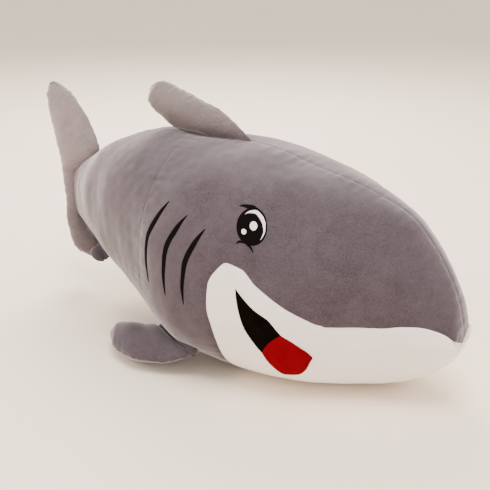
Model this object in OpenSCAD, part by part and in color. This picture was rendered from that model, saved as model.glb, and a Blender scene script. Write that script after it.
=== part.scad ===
// Plush shark: a large stuffed floor toy, lying on its belly.
// Sewn plush panels round a polyester filling, with six stuffed fins stitched on,
// embroidered eyes and gill slits, and a mouth and tongue in applique.
// Units are millimetres. +X points to the nose, +Y to the shark's left, +Z up.
// The origin is on the floor, under the middle of the toy's box.

/* [Body] */
// Length from the tip of the nose back to the tail root
body_length = 1122; // [1100:2:1140]
// Place of the cross seam behind the gills, along the body
girth_seam_x = -75; // [-90:5:-60]
// Where the belly seams run, in degrees round the body from the top seam
belly_seam_angle = 145; // [140:1:150]

/* [Fabric] */
// Thickness of the plush fabric with its pile brushed flat
skin = 2; // [1.6:0.1:2.4]
// Room between the fabric and the modelled filling
filling_gap = 4; // [3:0.5:5]
// Extra room round the filling in the tail fin's narrow curves
tail_spare = 4; // [2:0.5:6]
// Thickness of the seam thread
thread = 2; // [1.6:0.1:2.4]
// Height that embroidery and applique stand above the fabric
stitch_height = 1.6; // [1.4:0.1:2]

/* [Fins] */
// Clearance at each fin's root, where the fin hinges on its stitching
root_gap = 8; // [7:0.5:9]
// Half of the dorsal fin's thickness at its fattest
dorsal_bulge = 36; // [30:1:38]
// Half of a pectoral fin's thickness at its fattest
pectoral_bulge = 30; // [26:1:30]
// Half of a pelvic fin's thickness at its fattest
pelvic_bulge = 13; // [12:1:16]
// Half of the tail fin's thickness at its fattest
tail_bulge = 25; // [20:1:26]

/* [Colours] */
// Colour of the grey plush
grey = "#958c8f";
// Colour of the jaw
white = "#ebe4dc";
// Colour of the embroidery and the mouth
black = "#15110f";
// Colour of the tongue
red = "#be0005";

/* [Hidden] */
nose_x = 600;

// The body's profile. Each station is [place, top, bottom, half width]. Place runs from 0
// at the nose to 1 at the tail root, and its square is the share of body_length, so that
// the nose comes out round. A bottom under 0 is pressed flat by the floor.
stations = [
    [0.00, 141.5, 138.5, 38],
    [0.18, 271, 69, 80],
    [0.36, 400, 14, 137],
    [0.54, 454, -14, 246],
    [0.70, 489, -10, 277],
    [0.82, 487, 67, 205],
    [0.92, 430, 145, 117],
    [0.99, 332, 188, 15]
];
tail_root = 0.99;
// How square the body's cross section is: sideways, above its middle and below it
side_power = 0.92;
upper_power = 0.95;
lower_power = 0.75;
// Towards the nose the two head panels meet in a pointed arch: its power, and the place
// by which the arch has become round
nose_arch = 1.6;
arch_end = 0.65;
// Height of the widest line, as a share of the body's height
waist_share = 0.45;

// The jaw seam in side view, from the belly up its rear edge and forward to the nose
jaw_outline = [
    [152, 5], [153, 80], [149, 151], [140, 206], [141, 250], [158, 285], [180, 303], [211, 295],
    [243, 268], [281, 244], [338, 210], [385, 187], [455, 186], [510, 194], [551, 193], [580, 180],
    [597, 159]
];
// The mouth in side view, as its upper and its lower edge from the corner forward
mouth_upper = [[204, 256], [245, 219], [280, 198], [298, 176], [321, 148], [345, 123]];
mouth_lower = [[204, 256], [213, 212], [227, 172], [250, 134], [277, 101], [299, 82]];
// The tongue, which lies over the mouth's front end
tongue_upper = [[303, 168], [322, 155], [339, 140], [352, 127], [359, 113]];
tongue_lower = [[262, 120], [278, 84], [298, 64], [322, 67], [345, 87]];
// Each gill slit in side view, as its top, middle and lower end
gill_rear = [[1, 393], [-38, 290], [-26, 210]];
gill_middle = [[62, 378], [26, 286], [33, 200]];
gill_front = [[116, 360], [80, 268], [85, 193]];
gill_width = 13;
// The eye in side view, as its centre, its half height and its half width as vectors
eye_center = [210, 374];
eye_up = [-14, 32];
eye_forward = [30, 3];

// Fins. Each row is [place, front edge, rear edge, half thickness], with place 0 at the
// root and 1 at the tip. The thickness at the root is pinched, so that the fin can hinge.
dorsal_rows = [
    [0.00, [62, 0, body_top(62) + root_gap], [-146, 0, body_top(-146) + root_gap], 10],
    [0.20, [12, 0, 529], [-170, 0, 499], 0.86 * dorsal_bulge],
    [0.45, [-62, 0, 559], [-190, 0, 511], dorsal_bulge],
    [0.75, [-140, 0, 585], [-220, 0, 528], 0.8 * dorsal_bulge],
    [0.92, [-192, 0, 598], [-238, 0, 546], 0.5 * dorsal_bulge],
    [1.00, [-218, 0, 595], [-241, 0, 568], 0]
];
pectoral_rows = [
    [0.00, [80, -242 - root_gap, 56], [-68, -188 - root_gap, 52], 10],
    [0.20, [58, -262, 49], [-92, -182, 47], 0.75 * pectoral_bulge],
    [0.45, [12, -286, 38], [-118, -186, 38], pectoral_bulge],
    [0.72, [-50, -302, 34], [-148, -186, 34], pectoral_bulge],
    [0.92, [-120, -286, 31], [-184, -198, 31], 0.7 * pectoral_bulge],
    [1.00, [-158, -264, 30], [-192, -224, 30], 0]
];
pelvic_rows = [
    [0.00, [-304, -109, 155], [-352, -95, 175], 5],
    [0.30, [-309, -113, 148], [-356, -100, 168], 0.8 * pelvic_bulge],
    [0.65, [-317, -117, 142], [-359, -105, 161], pelvic_bulge],
    [0.90, [-328, -116, 140], [-358, -106, 156], 0.6 * pelvic_bulge],
    [1.00, [-338, -114, 142], [-354, -108, 152], 0]
];
tail_front = nose_x - body_length * tail_root ^ 2 - root_gap - 3;
tail_rows = [
    [0.00, [-480, 0, 82], [-516, 0, 86], 0],
    [0.05, [-454, 0, 98], [-538, 0, 104], 0.6 * tail_bulge],
    [0.12, [-450, 0, 132], [-549, 0, 138], 0.9 * tail_bulge],
    [0.20, [-494, 0, 166], [-553, 0, 170], 0.8 * tail_bulge],
    [0.27, [tail_front, 0, 200], [-556, 0, 200], 0.6 * tail_bulge],
    [0.52, [tail_front, 0, 334], [-562, 0, 330], 0.6 * tail_bulge],
    [0.60, [-464, 0, 378], [-570, 0, 368], 0.9 * tail_bulge],
    [0.68, [-418, 0, 410], [-579, 0, 404], tail_bulge],
    [0.82, [-450, 0, 466], [-593, 0, 460], 0.9 * tail_bulge],
    [0.94, [-508, 0, 530], [-600, 0, 524], 0.6 * tail_bulge],
    [1.00, [-550, 0, 559], [-597, 0, 552], 0]
];

// Mesh density
head_belly_rows = 5;
head_columns = 9;
jaw_rows = 20;
jaw_columns = 7;
rear_rows = 8;
rear_columns = 10;
belly_rows = 12;
belly_columns = 6;
filling_rows = 22;
filling_columns = 24;
fin_columns = 8;
thread_sides = 5;

// --- Curves ---------------------------------------------------------------------------
function secant(xs, ys, i) = (ys[i + 1] - ys[i]) / (xs[i + 1] - xs[i]);
function end_tangent(near, far, near_step, far_step) =
    ((2 * near_step + far_step) * near - near_step * far) / (near_step + far_step);
function tangent(xs, ys, i) = let (last = len(xs) - 1)
    i == 0 ? end_tangent(secant(xs, ys, 0), secant(xs, ys, 1), xs[1] - xs[0], xs[2] - xs[1])
    : i == last ? end_tangent(secant(xs, ys, last - 1), secant(xs, ys, last - 2),
        xs[last] - xs[last - 1], xs[last - 1] - xs[last - 2])
    : let (before = secant(xs, ys, i - 1), after = secant(xs, ys, i))
        before * after <= 0 ? 0 : 2 * before * after / (before + after);
function span(xs, x, i = 0) = i >= len(xs) - 2 || x < xs[i + 1] ? i : span(xs, x, i + 1);
// Smooth curve through the points, with no overshoot between them
function smooth(xs, ys, x) = let (
        i = span(xs, x), step = xs[i + 1] - xs[i], t = (x - xs[i]) / step,
        start = tangent(xs, ys, i) * step, stop = tangent(xs, ys, i + 1) * step
    ) (2 * t ^ 3 - 3 * t ^ 2 + 1) * ys[i] + (t ^ 3 - 2 * t ^ 2 + t) * start
        + (3 * t ^ 2 - 2 * t ^ 3) * ys[i + 1] + (t ^ 3 - t ^ 2) * stop;
function column(rows, k) = [for (row = rows) row[k]];
// Point on a smooth curve through points, with t from 0 to 1 in equal steps per point
function along(points, t) = let (steps = [for (i = [0 : len(points) - 1]) i / (len(points) - 1)])
    [for (k = [0 : len(points[0]) - 1]) smooth(steps, column(points, k), t)];
function mix(a, b, t) = a + (b - a) * t;
function unit(v) = v / norm(v);

// --- The body's surface ---------------------------------------------------------------
function place_at(x) = sqrt(max(0, nose_x - x) / body_length);
function section(place) = [for (k = [1 : 3]) smooth(column(stations, 0), column(stations, k), place)];
function middle(cut) = mix(cut[1], cut[0], waist_share);
function top_power(place) = let (t = min(1, place / arch_end)) mix(nose_arch, upper_power, t ^ 2 * (3 - 2 * t));
// Point at a place along the body and an angle round it: 0 is the top, 90 the left side,
// -90 the right side
function raw_point(place, angle) = let (
        cut = section(place), mid = middle(cut), c = cos(angle), s = sin(angle)
    ) [nose_x - body_length * place ^ 2,
       sign(s) * cut[2] * abs(s) ^ side_power,
       c >= 0 ? mid + (cut[0] - mid) * c ^ top_power(place) : mid - (mid - cut[1]) * (-c) ^ lower_power];
function body_top(x) = section(place_at(x))[0];
function pressed(p) = [p[0], p[1], max(0, p[2])];
function body_point(place, angle) = pressed(raw_point(place, angle));
function outward(place, angle) = let (
        before = max(0, place - 0.01),
        lengthwise = body_point(place + 0.01, angle) - body_point(before, angle),
        round = body_point(place, angle + 2) - body_point(place, angle - 2)
    ) unit(cross(round, lengthwise));
function lifted(place, angle, lift) = body_point(place, angle) + lift * outward(place, angle);
// Angle at which the surface reaches a height
function angle_at(place, z) = let (cut = section(place), mid = middle(cut))
    z >= mid ? acos(min(1, (z - mid) / (cut[0] - mid)) ^ (1 / top_power(place)))
    : 180 - acos(min(1, (mid - z) / (mid - cut[1])) ^ (1 / lower_power));
// Place and angle on the right side for a point given in side view
function side_spot(p) = let (place = place_at(p[0])) [place, -angle_at(place, p[1])];
function side_point(p, lift) = let (spot = side_spot(p)) lifted(spot[0], spot[1], lift);

// --- Mesh builders --------------------------------------------------------------------
function flatten(rows) = [for (row = rows) for (p = row) p];
// Two triangles for each cell of a grid whose points start at first
function grid_faces(rows, columns, first, flip) = [
    for (r = [0 : rows - 2]) for (c = [0 : columns - 2])
        let (a = first + r * columns + c, b = a + 1, d = a + columns, e = d + 1)
            each flip ? [[a, e, b], [a, d, e]] : [[a, b, e], [a, e, d]]
];
function border(rows, columns) = concat(
    [for (c = [0 : columns - 2]) c],
    [for (r = [0 : rows - 2]) r * columns + columns - 1],
    [for (c = [columns - 1 : -1 : 1]) (rows - 1) * columns + c],
    [for (r = [rows - 1 : -1 : 1]) r * columns]
);
// A sheet with thickness, between an outer and an inner grid of points
module sheet(outer, inner, flip = false) {
    rows = len(outer);
    columns = len(outer[0]);
    count = rows * columns;
    edge = border(rows, columns);
    rim = [
        for (i = [0 : len(edge) - 1])
            let (a = edge[i], b = edge[(i + 1) % len(edge)])
                each flip ? [[a, b, b + count], [a, b + count, a + count]]
                    : [[b, a, b + count], [a, a + count, b + count]]
    ];
    polyhedron(
        concat(flatten(outer), flatten(inner)),
        concat(grid_faces(rows, columns, 0, flip), grid_faces(rows, columns, count, !flip), rim)
    );
}
// A solid through closed rings of points: with flat ends, or joined end to end
module loft(rings, closed = false) {
    count = len(rings[0]);
    total = len(rings) * count;
    walls = [
        for (r = [0 : len(rings) - (closed ? 1 : 2)]) for (c = [0 : count - 1])
            let (a = r * count + c, b = r * count + (c + 1) % count,
                 d = (a + count) % total, e = (b + count) % total)
                each [[a, e, b], [a, d, e]]
    ];
    ends = closed ? [] : [
        [for (c = [0 : count - 1]) c],
        [for (c = [0 : count - 1]) total - 1 - c]
    ];
    polyhedron(flatten(rings), concat(walls, ends));
}
// Thread along a path of [point, side direction] pairs
module thread_along(path, closed = false) {
    sides = thread_sides;
    count = len(path);
    rings = [
        for (i = [0 : count - 1]) let (
            ahead = path[closed ? (i + 1) % count : min(i + 1, count - 1)][0],
            behind = path[closed ? (i + count - 1) % count : max(i - 1, 0)][0],
            run = unit(ahead - behind),
            across = unit(cross(run, path[i][1])),
            up = cross(across, run)
        ) [for (k = [0 : sides - 1])
            path[i][0] + thread / 2 * (cos(360 * k / sides) * up + sin(360 * k / sides) * across)]
    ];
    loft(rings, closed);
}
module left() { mirror([0, 1, 0]) children(); }

// --- Body panels ----------------------------------------------------------------------
function steps(count) = [for (i = [0 : count]) i / count];
function body_sheet(spots, lift) = [for (row = spots) [for (s = row) lifted(s[0], s[1], lift)]];
module body_panel(spots) { sheet(body_sheet(spots, 0), body_sheet(spots, -skin), true); }
jaw_line = [for (p = jaw_outline) side_spot(p)];
jaw_start = jaw_line[0];
nose_spot = [0, -6];
jaw_seam_line = concat([[jaw_start[0], -belly_seam_angle]], [for (i = [1 : len(jaw_line) - 1]) jaw_line[i]],
    [nose_spot]);
girth_place = place_at(girth_seam_x);
seam_spots = [for (t = steps(jaw_rows)) along(jaw_seam_line, t)];
// Lower edge of a head panel: along the belly seam, then up and along the jaw seam
head_lower = concat(
    [for (i = [0 : head_belly_rows - 1])
        [mix(girth_place, jaw_start[0], i / head_belly_rows), -belly_seam_angle]],
    seam_spots
);
// Each row starts at the top seam, mostly above its own lower end, so that no row crosses
// the jaw seam where that turns back
top_spread = 0.25;
module head_panel() {
    rows = len(head_lower) - 1;
    color(grey) body_panel([
        for (i = [0 : rows]) let (
            even = girth_place * (1 - i / rows),
            top = [mix(head_lower[i][0], even, top_spread), 0]
        ) [for (s = steps(head_columns)) mix(top, head_lower[i], s)]
    ]);
}
module rear_panel() {
    color(grey) body_panel([
        for (t = steps(rear_rows)) let (place = mix(tail_root, girth_place, t))
            [for (s = steps(rear_columns)) [place, -belly_seam_angle * s]]
    ]);
}
module belly_panel() {
    half = 180 - belly_seam_angle;
    color(grey) body_panel([
        for (t = steps(belly_rows)) let (place = mix(tail_root, jaw_start[0], t))
            [for (s = steps(belly_columns)) [place, -belly_seam_angle - 2 * half * s]]
    ]);
}
module jaw_panel() {
    color(white) body_panel([
        for (i = [0 : jaw_rows]) let (
            edge = seam_spots[i],
            chin = [mix(jaw_start[0], 0, i / jaw_rows), -180]
        ) concat(
            [for (s = steps(jaw_columns)) mix(edge, chin, s)],
            [for (k = [jaw_columns - 1 : -1 : 0]) let (spot = mix(edge, chin, k / jaw_columns))
                [spot[0], -360 - spot[1]]]
        )
    ]);
}
module body_filling() {
    inset = skin + filling_gap;
    color("white") loft([
        for (t = steps(filling_rows)) let (place = mix(0, tail_root - 0.004, t))
            [for (c = [0 : filling_columns - 1]) lifted(place, 360 * c / filling_columns, -inset)]
    ]);
}

// --- Body seams -----------------------------------------------------------------------
seam_lift = 0.4;
function seam_path(spots) = [for (s = spots) [lifted(s[0], s[1], seam_lift), outward(s[0], s[1])]];
module top_center_seam() {
    color(grey) thread_along(seam_path([for (t = steps(30)) [mix(0.02, tail_root - 0.01, t), 0]]));
}
module girth_seam() {
    color(grey) thread_along(
        seam_path([for (i = [0 : 35]) [girth_place, 5 - belly_seam_angle + i * 2 * (belly_seam_angle - 5) / 35]])
    );
}
module jaw_seam() {
    right_side = [for (t = steps(26)) along(jaw_seam_line, mix(0.02, 0.97, t))];
    color(white) thread_along(seam_path(right_side));
    color(white) left() thread_along(seam_path(right_side));
}
module belly_seam() {
    color(grey) thread_along(
        seam_path([for (t = steps(18)) [mix(jaw_start[0] + 0.02, tail_root - 0.01, t), -belly_seam_angle]])
    );
}

// --- Embroidery and applique ----------------------------------------------------------
// A patch between two edges given in side view, from below the fabric's face to above it
module patch(upper, lower, from, to, rows, columns, top) {
    spots = [
        for (t = steps(rows)) let (a = along(upper, mix(from, to, t)), b = along(lower, mix(from, to, t)))
            [for (s = steps(columns)) mix(a, b, s)]
    ];
    sheet(
        [for (row = spots) [for (p = row) side_point(p, top)]],
        [for (row = spots) [for (p = row) side_point(p, -skin / 2)]],
        true
    );
}
module mouth() { color(black) patch(mouth_upper, mouth_lower, 0.03, 0.985, 12, 4, stitch_height); }
module tongue() {
    color(red) patch(tongue_upper, tongue_lower, 0, 1, 6, 4, 2 * stitch_height);
}
// A slit that tapers to both ends
module gill(ends) {
    half = gill_width / 2;
    upper = [ends[0] + [-1, 0], ends[1] + [-half, 0], ends[2] + [-1, 0]];
    lower = [ends[0] + [1, 0], ends[1] + [half, 0], ends[2] + [1, 0]];
    color(black) patch(lower, upper, 0, 1, 8, 1, stitch_height);
}
// An oval on the eye, with its centre and size as shares of the eye
module eye_oval(center, size, top, sides) {
    rings = [0.02, 0.5, 1];
    function at(ring, c) = let (angle = 360 * c / sides)
        eye_center + (center[0] + size[0] * ring * cos(angle)) * eye_forward
            + (center[1] + size[1] * ring * sin(angle)) * eye_up;
    function face(ring, lift) = [for (c = [0 : sides - 1]) side_point(at(ring, c), lift)];
    loft([
        face(rings[0], -skin / 2), face(rings[1], -skin / 2), face(rings[2], -skin / 2),
        face(rings[2], top), face(rings[1], top), face(rings[0], top)
    ]);
}
module eye() { color(black) eye_oval([0, 0], [1, 1], stitch_height, 20); }
module eye_highlight() {
    color(white) eye_oval([0.14, 0.05], [0.25, 0.25], 2 * stitch_height, 12);
    color(white) eye_oval([-0.49, -0.25], [0.18, 0.16], 2 * stitch_height, 10);
}

// --- Fins -----------------------------------------------------------------------------
function fin_row(rows, t) = let (places = column(rows, 0)) [
    [for (k = [0 : 2]) smooth(places, column(column(rows, 1), k), t)],
    [for (k = [0 : 2]) smooth(places, column(column(rows, 2), k), t)],
    smooth(places, column(rows, 3), t)
];
// Direction that the fin's upper or right face looks in
function fin_side(rows, t) = let (
        here = fin_row(rows, t), ahead = fin_row(rows, min(1, t + 0.02)), behind = fin_row(rows, max(0, t - 0.02))
    ) unit(cross(here[1] - here[0], ahead[0] + ahead[1] - behind[0] - behind[1]));
function fin_swell(s) = (4 * s * (1 - s)) ^ 0.6;
// One side of the fin, side +1 or -1, drawn in by inset
function fin_face(rows, t, side, inset) = let (
        row = fin_row(rows, t), chord = unit(row[1] - row[0]), out = fin_side(rows, t),
        front = row[0] + chord * inset, rear = row[1] - chord * inset, bulge = max(0, row[2] - inset)
    ) [for (s = steps(fin_columns)) mix(front, rear, s) + side * out * bulge * fin_swell(s)];
function fin_places(rows, count, first, last) = [for (t = steps(count)) mix(first, last, t)];
module fin_panel(rows, side, count = 9, start = 0, first_inset = 0.0, last_inset = 0.012) {
    sheet(
        [for (t = fin_places(rows, count, start, 1)) fin_face(rows, t, side, 0)],
        [for (t = fin_places(rows, count, start + first_inset, 1 - last_inset)) fin_face(rows, t, side, skin)],
        side > 0
    );
}
module fin_filling(rows, count = 8, first = 0.02, last = 0.95, spare = 0) {
    inset = skin + filling_gap + spare;
    color("white") loft([
        for (t = fin_places(rows, count, first, last)) let (
            upper = fin_face(rows, t, 1, inset), lower = fin_face(rows, t, -1, inset)
        ) concat(upper, [for (i = [fin_columns - 1 : -1 : 1]) lower[i]])
    ]);
}
// Stitching round a fin's root, laid on the body under the fin
module root_seam(spots) { color(grey) thread_along(seam_path(spots), closed = true); }
function oval_spots(center, size) = [
    for (i = [0 : 19]) [center[0] + size[0] * cos(18 * i), center[1] + size[1] * sin(18 * i)]
];

module dorsal_panel(side) { color(grey) fin_panel(dorsal_rows, side); }
module dorsal_root_seam() {
    front = place_at(62);
    rear = place_at(-146);
    root_seam(oval_spots([(front + rear) / 2, 0], [(rear - front) / 2, 2.5]));
}
module pectoral_panel(side) { color(grey) fin_panel(pectoral_rows, side); }
module pelvic_panel(side) { color(grey) fin_panel(pelvic_rows, side, 6); }
module tail_panel(side) { color(grey) fin_panel(tail_rows, side, 20, 0, 0.012); }
module pectoral_root_seam() {
    front = side_spot([80, 62]);
    rear = side_spot([-68, 62]);
    root_seam(oval_spots([(front[0] + rear[0]) / 2, (front[1] + rear[1]) / 2],
        [(rear[0] - front[0]) / 2, 3]));
}
module tail_root_seam() {
    color(grey) thread_along([
        for (i = [0 : 15]) let (angle = 22.5 * i, cut = section(tail_root))
            [[nose_x - body_length * tail_root ^ 2 - 1.5, (cut[2] - 2) * cos(angle),
              (cut[0] + cut[1]) / 2 + (cut[0] - cut[1] - 8) / 2 * sin(angle)], [-1, 0, 0]]
    ], closed = true);
}

head_panel();  // head_panel_right
left() head_panel();  // head_panel_left
rear_panel();  // rear_panel_right
left() rear_panel();  // rear_panel_left
belly_panel();
jaw_panel();
body_filling();
top_center_seam();
girth_seam();
jaw_seam();
belly_seam();  // belly_seam_right
left() belly_seam();  // belly_seam_left
mouth();  // mouth_right
left() mouth();  // mouth_left
tongue();  // tongue_right
left() tongue();  // tongue_left
gill(gill_rear);  // gill_rear_right
gill(gill_middle);  // gill_middle_right
gill(gill_front);  // gill_front_right
left() gill(gill_rear);  // gill_rear_left
left() gill(gill_middle);  // gill_middle_left
left() gill(gill_front);  // gill_front_left
eye();  // eye_right
left() eye();  // eye_left
eye_highlight();  // eye_highlight_right
left() eye_highlight();  // eye_highlight_left
dorsal_panel(1);  // dorsal_panel_right
dorsal_panel(-1);  // dorsal_panel_left
fin_filling(dorsal_rows);  // dorsal_filling
dorsal_root_seam();
pectoral_panel(1);  // pectoral_top_right
pectoral_panel(-1);  // pectoral_bottom_right
fin_filling(pectoral_rows);  // pectoral_filling_right
pectoral_root_seam();  // pectoral_root_seam_right
left() pectoral_panel(1);  // pectoral_top_left
left() pectoral_panel(-1);  // pectoral_bottom_left
left() fin_filling(pectoral_rows);  // pectoral_filling_left
left() pectoral_root_seam();  // pectoral_root_seam_left
pelvic_panel(1);  // pelvic_top_right
pelvic_panel(-1);  // pelvic_bottom_right
fin_filling(pelvic_rows, 5, 0.05, 0.85);  // pelvic_filling_right
left() pelvic_panel(1);  // pelvic_top_left
left() pelvic_panel(-1);  // pelvic_bottom_left
left() fin_filling(pelvic_rows, 5, 0.05, 0.85);  // pelvic_filling_left
tail_panel(1);  // tail_panel_right
tail_panel(-1);  // tail_panel_left
fin_filling(tail_rows, 26, 0.04, 0.95, tail_spare);  // tail_filling
tail_root_seam();
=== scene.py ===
"""A large plush shark that lies on its belly: sewn panels, embroidered face and stuffed fins.

The body's skin is one smooth surface, given by its profile along the body and the shape of
its cross section. Panels, seams and embroidery are all laid out on that surface. Places are
in millimetres in the tables below, as a pattern cutter has them, and in metres elsewhere.
"""
import math
import bpy
import numpy as np
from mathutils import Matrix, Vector
from mathutils.bvhtree import BVHTree
from mathutils.kdtree import KDTree


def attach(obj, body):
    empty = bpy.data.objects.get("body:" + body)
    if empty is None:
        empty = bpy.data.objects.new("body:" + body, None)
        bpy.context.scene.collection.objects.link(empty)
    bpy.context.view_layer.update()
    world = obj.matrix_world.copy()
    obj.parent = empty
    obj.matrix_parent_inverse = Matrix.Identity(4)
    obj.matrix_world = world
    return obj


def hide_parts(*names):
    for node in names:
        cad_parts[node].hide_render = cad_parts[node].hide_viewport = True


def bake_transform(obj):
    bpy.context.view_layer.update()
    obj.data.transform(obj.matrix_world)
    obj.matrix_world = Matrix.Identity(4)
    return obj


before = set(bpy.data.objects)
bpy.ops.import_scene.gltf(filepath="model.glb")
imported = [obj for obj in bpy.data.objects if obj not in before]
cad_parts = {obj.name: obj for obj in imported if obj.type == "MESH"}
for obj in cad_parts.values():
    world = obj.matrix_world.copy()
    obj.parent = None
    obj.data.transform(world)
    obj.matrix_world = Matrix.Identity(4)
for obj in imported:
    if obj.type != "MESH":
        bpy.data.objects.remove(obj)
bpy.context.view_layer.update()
MM = 0.001
RIGHT = -1
LEFT = 1
SIDES = {RIGHT: "right", LEFT: "left"}

# --- The pattern ---
NOSE_X = 600
BODY_LENGTH = 1122
# Place along the body, top, bottom and half width. A bottom under 0 is pressed flat.
STATIONS = np.array([
    (0.00, 141.5, 138.5, 38), (0.18, 271, 69, 80), (0.36, 400, 14, 137), (0.54, 454, -14, 246),
    (0.70, 489, -10, 277), (0.82, 487, 67, 205), (0.92, 430, 145, 117), (0.99, 332, 188, 15),
])
TAIL_ROOT = 0.99
SIDE_POWER = 0.92
UPPER_POWER = 0.95
LOWER_POWER = 0.75
NOSE_ARCH = 1.6
ARCH_END = 0.65
WAIST_SHARE = 0.45
BELLY_ANGLE = 145
GIRTH_X = -75
# How far round from the top the jaw seam ends at the nose, in degrees
NOSE_ANGLE = 6
JAW_OUTLINE = (
    (152, 5), (153, 80), (149, 151), (140, 206), (141, 250), (158, 285), (180, 303), (211, 295),
    (243, 268), (281, 244), (338, 210), (385, 187), (455, 186), (510, 194), (551, 193), (580, 180),
    (597, 159),
)
MOUTH_UPPER = ((204, 256), (245, 219), (280, 198), (298, 176), (321, 148), (345, 123))
MOUTH_LOWER = ((204, 256), (213, 212), (227, 172), (250, 134), (277, 101), (299, 82))
TONGUE_UPPER = ((303, 168), (322, 155), (339, 140), (352, 127), (359, 113))
TONGUE_LOWER = ((262, 120), (278, 84), (298, 64), (322, 67), (345, 87))
GILLS = {
    "rear": ((1, 393), (-21, 354), (-37, 308), (-37, 262), (-26, 210)),
    "middle": ((62, 378), (42, 344), (27, 300), (27, 250), (33, 200)),
    "front": ((116, 360), (97, 326), (81, 280), (80, 238), (85, 193)),
}
# Half of a gill's width at each of its points
GILL_HALVES = (0.8, 7.0, 6.6, 4.8, 0.8)
EYE_CENTER = np.array((210, 374))
EYE_UP = np.array((-14, 32))
EYE_FORWARD = np.array((30, 3))
ROOT_GAP = 8

# --- Curves ---


def mix(a, b, t):
    return a + (b - a) * t


def ease(t):
    t = np.clip(t, 0, 1)
    return t * t * (3 - 2 * t)


def tangents(xs, ys):
    """Slopes of a curve that never overshoots its points."""
    step = np.diff(xs)
    slope = np.diff(ys) / step
    found = np.zeros(len(xs))
    before, after = slope[:-1], slope[1:]
    same = before * after > 0
    found[1:-1][same] = 2 * (before * after)[same] / (before + after)[same]
    for end, near, far in ((0, 0, 1), (-1, -1, -2)):
        whole = step[near] + step[far]
        found[end] = ((2 * step[near] + step[far]) * slope[near] - step[near] * slope[far]) / whole
    return found


def smooth(xs, ys, x):
    """Smooth curve through the points, read at x."""
    xs, ys, x = np.asarray(xs, float), np.asarray(ys, float), np.asarray(x, float)
    slope = tangents(xs, ys)
    i = np.clip(np.searchsorted(xs, x, side="right") - 1, 0, len(xs) - 2)
    step = xs[i + 1] - xs[i]
    t = (x - xs[i]) / step
    rise = (2 * t**3 - 3 * t**2 + 1) * ys[i] + (3 * t**2 - 2 * t**3) * ys[i + 1]
    return rise + step * ((t**3 - 2 * t**2 + t) * slope[i] + (t**3 - t**2) * slope[i + 1])


def along(points, t):
    """Point on a smooth curve through points, with t from 0 to 1 in equal steps per point."""
    points = np.asarray(points, float)
    places = np.linspace(0, 1, len(points))
    return np.stack([smooth(places, points[:, k], t) for k in range(points.shape[1])], -1)


def run_along(points):
    """The distance along a line of points, up to each of them."""
    return np.concatenate([[0], np.cumsum(np.linalg.norm(np.diff(points, axis=0), axis=1))])


def evenly(points, count, run=None):
    """count points at equal distances along a dense line, measured by its run if given."""
    run = run_along(points) if run is None else run
    wanted = np.linspace(0, run[-1], count)
    return np.stack([np.interp(wanted, run, column) for column in points.T], -1)


# --- The body's surface ---


def place_at(x):
    return np.sqrt(np.maximum(0, NOSE_X - np.asarray(x, float)) / BODY_LENGTH)


def section(place):
    return [smooth(STATIONS[:, 0], STATIONS[:, k], place) for k in (1, 2, 3)]


def top_power(place):
    return mix(NOSE_ARCH, UPPER_POWER, ease(np.asarray(place) / ARCH_END))


def plain_point(place, angle):
    """The skin without seams or unevenness: angle 0 is the top, 90 the left side."""
    place, angle = np.broadcast_arrays(np.asarray(place, float), np.asarray(angle, float))
    top, bottom, half = section(place)
    middle = mix(bottom, top, WAIST_SHARE)
    c, s = np.cos(np.radians(angle)), np.sin(np.radians(angle))
    upper = middle + (top - middle) * np.maximum(c, 0) ** top_power(place)
    lower = middle - (middle - bottom) * np.maximum(-c, 0) ** LOWER_POWER
    height = np.maximum(0, np.where(c >= 0, upper, lower))
    across = np.sign(s) * half * np.abs(s) ** SIDE_POWER
    return np.stack([NOSE_X - BODY_LENGTH * place**2, across, height], -1) * MM


def outward(place, angle):
    """Unit normals of the plain skin."""
    place, angle = np.broadcast_arrays(np.asarray(place, float), np.asarray(angle, float))
    step, turn = 0.008, 2
    behind = np.clip(place + step, 0, 0.999)
    ahead = np.clip(place - step, 0.0, 1)
    lengthwise = plain_point(behind, angle) - plain_point(ahead, angle)
    round_it = plain_point(place, angle + turn) - plain_point(place, angle - turn)
    normal = np.cross(round_it, lengthwise)
    return normal / np.maximum(np.linalg.norm(normal, axis=-1, keepdims=True), 1e-12)


def angle_at(place, z):
    top, bottom, _ = section(place)
    middle = mix(bottom, top, WAIST_SHARE)
    above = np.clip((z - middle) / (top - middle), 0, 1) ** (1 / top_power(place))
    below = np.clip((middle - z) / (middle - bottom), 0, 1) ** (1 / LOWER_POWER)
    return np.where(z >= middle, np.degrees(np.arccos(above)), 180 - np.degrees(np.arccos(below)))


def side_spots(points):
    """(place, angle away from the top) for points given in side view, in millimetres."""
    points = np.asarray(points, float)
    place = place_at(points[..., 0])
    return np.stack([place, angle_at(place, points[..., 1])], -1)


# --- Unevenness ---


def ripple(points, shortest, longest, seed, count=28):
    """A smooth random field over points, about -1 to 1, with waves of the given lengths."""
    draw = np.random.default_rng(seed)
    direction = draw.normal(size=(count, points.shape[-1]))
    direction /= np.linalg.norm(direction, axis=1, keepdims=True)
    wave = direction * (2 * math.pi / draw.uniform(shortest, longest, (count, 1)))
    phase = draw.uniform(0, 2 * math.pi, count)
    return np.sin(points @ wave.T + phase).sum(-1) * math.sqrt(1.4 / count)


GIRTH = float(place_at(GIRTH_X))
JAW_SEAM = np.concatenate([
    [(float(place_at(JAW_OUTLINE[0][0])), BELLY_ANGLE)],
    side_spots(JAW_OUTLINE[1:]),
    [(0, NOSE_ANGLE)],
])
JAW_START = JAW_SEAM[0, 0]
# Points along each of the body's seams, and along the lines that panels are laid out from
SEAM_SAMPLES = 400
DENSE_COUNT = 1500
DENSE = np.linspace(0, 1, DENSE_COUNT)


def mirrored(spots, side):
    return spots * np.array((1, side))


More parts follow.
